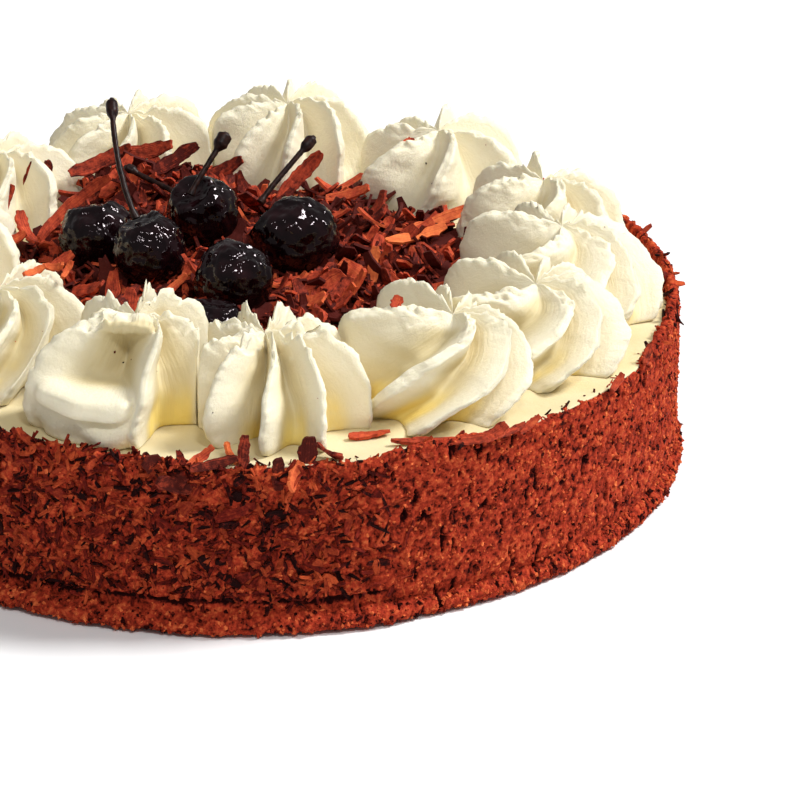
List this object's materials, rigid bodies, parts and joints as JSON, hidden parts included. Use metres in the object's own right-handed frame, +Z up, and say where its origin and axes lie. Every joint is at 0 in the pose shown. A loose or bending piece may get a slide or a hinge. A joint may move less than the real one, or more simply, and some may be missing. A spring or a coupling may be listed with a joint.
{
  "type": "black forest cake",
  "caption": "Round low cake in a coat of chocolate shavings, with a ring of piped cream swirls and glossy stemmed cherries on shavings in the middle.",
  "frame": {"origin": "centre of the flat underside", "axes": "+Z up through the cake's axis, -Y towards the side that shows the close swirls, +X to its right"},
  "size_m": [0.249, 0.249, 0.0996],
  "materials": {
    "chocolate": "red-brown chocolate shavings and crumbs, rough, with dark gaps",
    "cream": "soft whipped cream, pale ivory, slightly frothy on its ridges",
    "cherry_skin": "syrupy black cherry skin, wrinkled and very glossy",
    "stem_skin": "dark cherry stem, wet and slightly glossy"
  },
  "bodies": {
    "root": {"cake_body": "chocolate", "cream_layer": "cream", "shavings_mound": "chocolate", "swirl_01": "cream", "swirl_02": "cream", "swirl_03": "cream", "swirl_04": "cream", "swirl_05": "cream", "swirl_06": "cream", "swirl_07": "cream", "swirl_08": "cream", "swirl_09": "cream", "swirl_10": "cream", "swirl_11": "cream", "swirl_12": "cream", "cherry_1": "cherry_skin", "cherry_2": "cherry_skin", "cherry_3": "cherry_skin", "cherry_4": "cherry_skin", "cherry_5": "cherry_skin", "cherry_6": "cherry_skin", "stem_1": "stem_skin", "stem_2": "stem_skin", "stem_3": "stem_skin", "stem_4": "stem_skin"}
  },
  "joints": []
}
